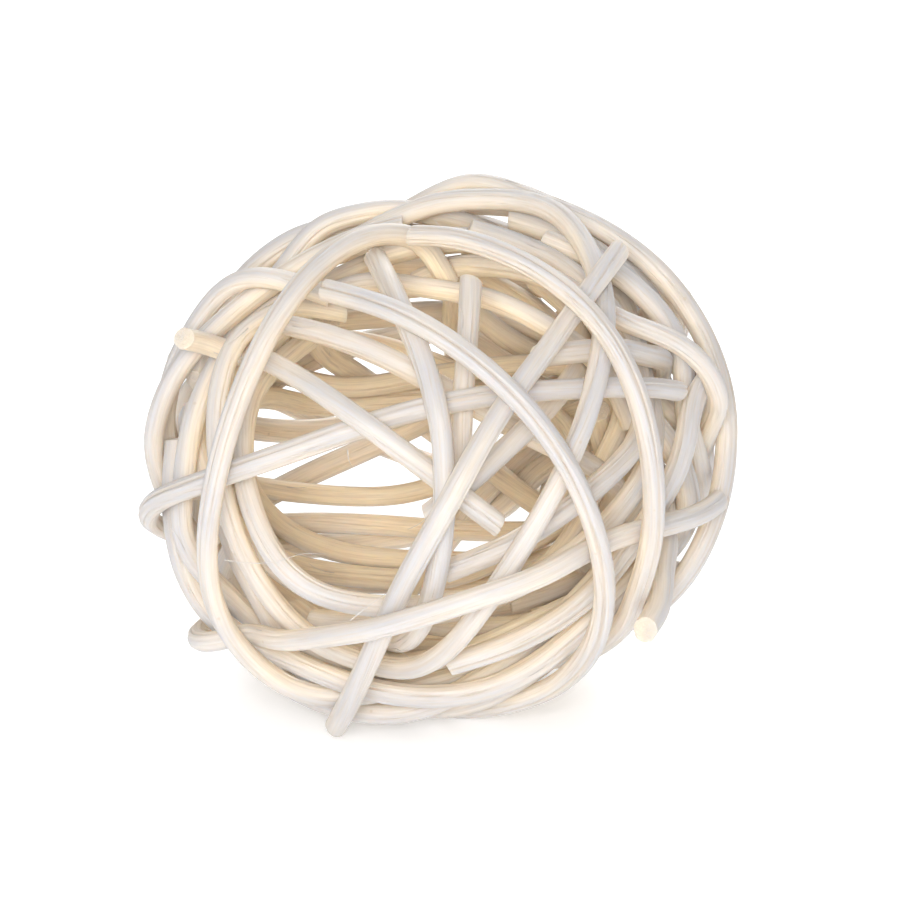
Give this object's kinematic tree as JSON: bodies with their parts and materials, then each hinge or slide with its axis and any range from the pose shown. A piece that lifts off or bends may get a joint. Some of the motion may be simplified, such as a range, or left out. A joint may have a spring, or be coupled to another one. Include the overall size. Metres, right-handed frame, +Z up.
{
  "type": "decorative sphere",
  "caption": "Loosely woven hollow ball of bleached rattan cane, slightly squashed, that stands loose as an ornament.",
  "frame": {"origin": "middle of the ball's outline, on the plane it stands on", "axes": "+Z up along the ball's short axis as it stands, -Y towards the side with the long slanting cane"},
  "size_m": [0.0498, 0.0492, 0.0427],
  "materials": {
    "cane": "bleached, satin"
  },
  "bodies": {
    "root": {"face_ring": "cane", "left_sweep": "cane", "middle_sweep": "cane", "right_sweep": "cane", "long_slant": "cane", "belt": "cane", "low_slant": "cane", "short_slant": "cane", "upright": "cane", "right_rim": "cane", "left_shoulder": "cane", "top_sweep": "cane", "lower_inner": "cane", "left_rim": "cane", "upper_inner": "cane", "crown": "cane", "short_upright": "cane", "back_hoop": "cane", "back_fall": "cane", "back_rise": "cane", "back_low": "cane", "back_left": "cane", "back_right": "cane", "back_level": "cane", "back_tilt": "cane", "back_shade": "cane", "back_post": "cane", "top_cross": "cane", "under_cross": "cane", "back_high": "cane", "back_span": "cane", "back_brace": "cane", "back_slope": "cane", "back_bias": "cane", "back_under": "cane", "inner_rise": "cane", "inner_wide": "cane", "inner_fall": "cane", "inner_left": "cane", "inner_low": "cane"}
  },
  "joints": []
}
